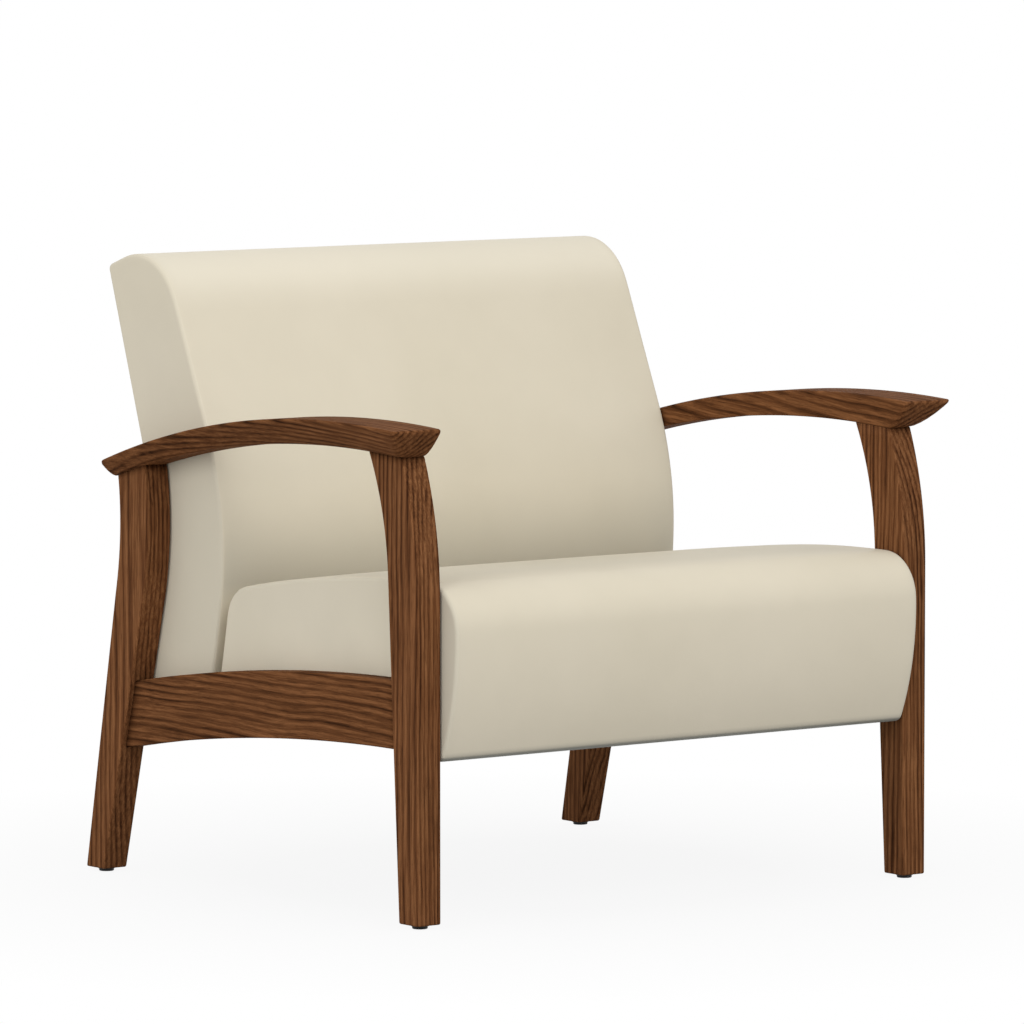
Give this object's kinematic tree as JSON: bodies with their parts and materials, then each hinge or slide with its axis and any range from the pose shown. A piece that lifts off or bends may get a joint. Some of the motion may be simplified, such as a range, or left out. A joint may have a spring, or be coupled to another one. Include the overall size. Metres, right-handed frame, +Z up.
{
  "type": "bariatric armchair",
  "caption": "Extra-wide armchair for clinics: arched walnut side frames on levelling glides carry a thick vinyl seat with a rounded front and a lumbar-shaped vinyl back.",
  "frame": {"origin": "on the floor, in the middle of the chair's width and of its depth from the seat's nose to the rear top edge of the back", "axes": "+X to the right as seen from the front, -Y towards the front, +Z up"},
  "size_m": [0.905, 0.7718, 0.8231],
  "materials": {
    "walnut": "open grain under a satin lacquer",
    "frame_wood": "sanded and unfinished",
    "cream_vinyl": "smooth coated fabric with a soft sheen",
    "foam": "cut polyurethane foam",
    "felt": "needled felt",
    "webbing": "woven elastic strap",
    "black_cloth": "spun-bonded dust cloth",
    "spring_steel": "bare drawn wire",
    "zinc_steel": "zinc plated",
    "painted_steel": "black powder coat",
    "black_plastic": "moulded, fine matt"
  },
  "bodies": {
    "chair": {"front_leg_left": "walnut", "front_leg_right": "walnut", "rear_leg_left": "walnut", "rear_leg_right": "walnut", "arm_left": "walnut", "arm_right": "walnut", "side_stretcher_left": "walnut", "side_stretcher_right": "walnut", "arm_dowels": "frame_wood", "stretcher_dowels": "frame_wood", "glide_inserts": "zinc_steel", "seat_front_board": "frame_wood", "seat_rear_board": "frame_wood", "seat_side_board_left": "frame_wood", "seat_side_board_right": "frame_wood", "seat_corner_blocks": "frame_wood", "cross_beam_front": "painted_steel", "cross_beam_rear": "painted_steel", "seat_springs": "spring_steel", "spring_clips": "zinc_steel", "seat_insulator": "felt", "seat_foam": "foam", "seat_cover": "cream_vinyl", "seat_dust_cover": "black_cloth", "back_stile_left": "frame_wood", "back_stile_right": "frame_wood", "back_top_board": "frame_wood", "back_lumbar_board": "frame_wood", "back_bottom_board": "frame_wood", "back_webbing": "webbing", "back_foam": "foam", "back_cover": "cream_vinyl", "back_outer_panel": "cream_vinyl", "frame_inserts": "zinc_steel", "frame_bolts": "zinc_steel", "bolt_washers": "zinc_steel", "bolt_spacers": "zinc_steel"},
    "glide_front_left": {"glide_stud_front_left": "zinc_steel", "glide_foot_front_left": "black_plastic"},
    "glide_front_right": {"glide_stud_front_right": "zinc_steel", "glide_foot_front_right": "black_plastic"},
    "glide_rear_left": {"glide_stud_rear_left": "zinc_steel", "glide_foot_rear_left": "black_plastic"},
    "glide_rear_right": {"glide_stud_rear_right": "zinc_steel", "glide_foot_rear_right": "black_plastic"}
  },
  "joints": [
    {"name": "glide_front_left_screw", "type": "slide", "parent": "chair", "child": "glide_front_left", "axis": [0, 0, -1], "range_m": [0, 0.01]},
    {"name": "glide_front_right_screw", "type": "slide", "parent": "chair", "child": "glide_front_right", "axis": [0, 0, -1], "range_m": [0, 0.01]},
    {"name": "glide_rear_left_screw", "type": "slide", "parent": "chair", "child": "glide_rear_left", "axis": [0, 0, -1], "range_m": [0, 0.01]},
    {"name": "glide_rear_right_screw", "type": "slide", "parent": "chair", "child": "glide_rear_right", "axis": [0, 0, -1], "range_m": [0, 0.01]}
  ]
}
